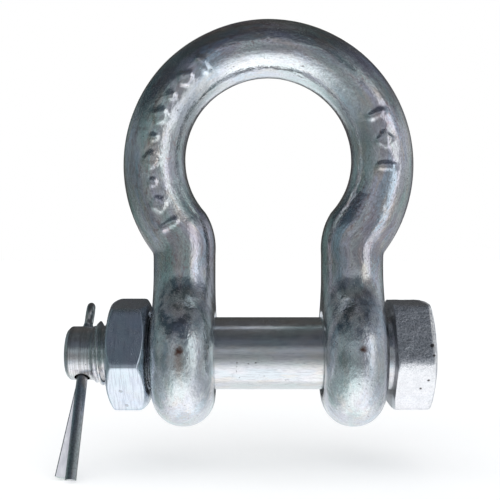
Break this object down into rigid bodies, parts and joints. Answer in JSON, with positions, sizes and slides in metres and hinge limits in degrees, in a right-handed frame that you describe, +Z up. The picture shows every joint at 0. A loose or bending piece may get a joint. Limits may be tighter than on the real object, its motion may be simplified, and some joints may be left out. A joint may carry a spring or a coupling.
{
  "type": "bow shackle",
  "caption": "Bolt-type bow shackle: forged round bow with two eyes, hexagon-headed bolt, nut and split cotter pin.",
  "frame": {"origin": "middle of the jaw, on the axis of the bolt", "axes": "+X along the bolt towards its head, +Z up towards the crown of the bow, -Y towards the face with the raised marks"},
  "size_m": [0.0939, 0.0381, 0.1161],
  "materials": {
    "forging": "zinc plate over forging scale",
    "bolt_steel": "zinc plate, forged head and turned shank",
    "nut_steel": "zinc plate over machined flats",
    "pin_steel": "drawn half-round wire, dull zinc"
  },
  "bodies": {
    "bow": {"bow": "forging"},
    "bolt": {"bolt": "bolt_steel"},
    "nut": {"nut": "nut_steel"},
    "cotter_pin": {"cotter_pin": "pin_steel"}
  },
  "joints": [
    {"name": "bolt_turn", "type": "hinge", "parent": "bow", "child": "bolt", "pos_m": [0, 0, 0], "axis": [1, 0, 0], "range_deg": [0, 720]},
    {"name": "nut_travel", "type": "slide", "parent": "bow", "child": "nut", "axis": [-1, 0, 0], "range_m": [0, 0.0047]},
    {"name": "cotter_slide", "type": "slide", "parent": "bolt", "child": "cotter_pin", "axis": [0, 0.5299, 0.848], "range_m": [0, 0.006]}
  ],
  "couplings": [
    {"joint": "nut_travel", "follows": "bolt_turn", "m_per_rad": 0.00036749}
  ]
}
